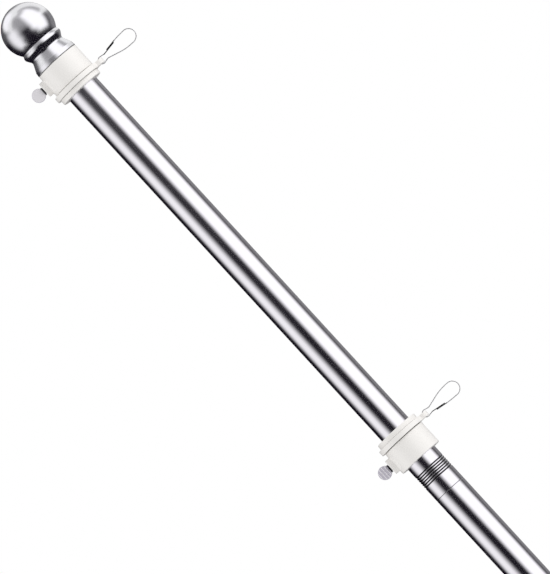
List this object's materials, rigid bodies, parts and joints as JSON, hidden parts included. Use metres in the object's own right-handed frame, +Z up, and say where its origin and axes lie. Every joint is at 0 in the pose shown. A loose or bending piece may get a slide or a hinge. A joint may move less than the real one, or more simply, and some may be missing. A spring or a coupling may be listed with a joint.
{
  "type": "flagpole",
  "caption": "Sectional polished steel flagpole with a ball finial and sliding white collars that carry swivelling snap hooks.",
  "frame": {"origin": "middle of the flat face of the butt", "axes": "+Z up the pole to the finial, +X towards the snap hooks, -X towards the thumb screws"},
  "size_m": [0.0865, 0.0394, 1.708],
  "materials": {
    "tube_steel": "polished",
    "finial_steel": "polished",
    "insert_alloy": "plain",
    "butt_plastic": "moulded",
    "white_plastic": "moulded",
    "spring_steel": "bright",
    "screw_plastic": "ribbed"
  },
  "bodies": {
    "pole": {"pole_section_1": "tube_steel", "pole_section_2": "tube_steel", "pole_section_3": "tube_steel", "pole_section_4": "tube_steel", "joint_socket_1": "insert_alloy", "joint_socket_2": "insert_alloy", "joint_socket_3": "insert_alloy", "joint_stud_1": "insert_alloy", "joint_stud_2": "insert_alloy", "joint_stud_3": "insert_alloy", "butt_plug": "butt_plastic", "top_plug": "insert_alloy", "finial_base": "finial_steel", "finial_ball": "finial_steel"},
    "upper_collar": {"upper_collar_body": "white_plastic", "upper_collar_cap": "white_plastic"},
    "upper_swivel": {"upper_swivel_ring": "white_plastic"},
    "upper_hook": {"upper_snap_hook": "spring_steel"},
    "upper_latch": {"upper_hook_tongue": "spring_steel"},
    "upper_screw": {"upper_thumb_screw": "screw_plastic"},
    "lower_collar": {"lower_collar_body": "white_plastic", "lower_collar_cap": "white_plastic"},
    "lower_swivel": {"lower_swivel_ring": "white_plastic"},
    "lower_hook": {"lower_snap_hook": "spring_steel"},
    "lower_latch": {"lower_hook_tongue": "spring_steel"},
    "lower_screw": {"lower_thumb_screw": "screw_plastic"}
  },
  "joints": [
    {"name": "upper_collar_slide", "type": "slide", "parent": "pole", "child": "upper_collar", "axis": [0, 0, 1], "range_m": [-0.1, 0]},
    {"name": "upper_ring_swivel", "type": "hinge", "parent": "upper_collar", "child": "upper_swivel", "pos_m": [0, 0, 1.6368], "axis": [0, 0, 1], "continuous": true},
    {"name": "upper_hook_swing", "type": "hinge", "parent": "upper_swivel", "child": "upper_hook", "pos_m": [0.024, 0, 1.6368], "axis": [0, 1, 0], "range_deg": [-90, 90]},
    {"name": "upper_gate_press", "type": "hinge", "parent": "upper_hook", "child": "upper_latch", "pos_m": [0.0282, 0, 1.6389], "axis": [0, 1, 0], "range_deg": [0, 25], "stiffness_Nm_per_rad": 0.02},
    {"name": "upper_screw_turn", "type": "hinge", "parent": "upper_collar", "child": "upper_screw", "pos_m": [-0.024, 0, 1.64843], "axis": [1, 0, 0], "range_deg": [0, 450]},
    {"name": "lower_collar_slide", "type": "slide", "parent": "pole", "child": "lower_collar", "axis": [0, 0, 1], "range_m": [-0.6, 0.12]},
    {"name": "lower_ring_swivel", "type": "hinge", "parent": "lower_collar", "child": "lower_swivel", "pos_m": [0, 0, 1.2955], "axis": [0, 0, 1], "continuous": true},
    {"name": "lower_hook_swing", "type": "hinge", "parent": "lower_swivel", "child": "lower_hook", "pos_m": [0.024, 0, 1.2955], "axis": [0, -1, 0], "range_deg": [-90, 90]},
    {"name": "lower_gate_press", "type": "hinge", "parent": "lower_hook", "child": "lower_latch", "pos_m": [0.0282, 0, 1.2934], "axis": [0, -1, 0], "range_deg": [0, 25], "stiffness_Nm_per_rad": 0.02},
    {"name": "lower_screw_turn", "type": "hinge", "parent": "lower_collar", "child": "lower_screw", "pos_m": [-0.024, 0, 1.28388], "axis": [1, 0, 0], "range_deg": [0, 450]}
  ]
}
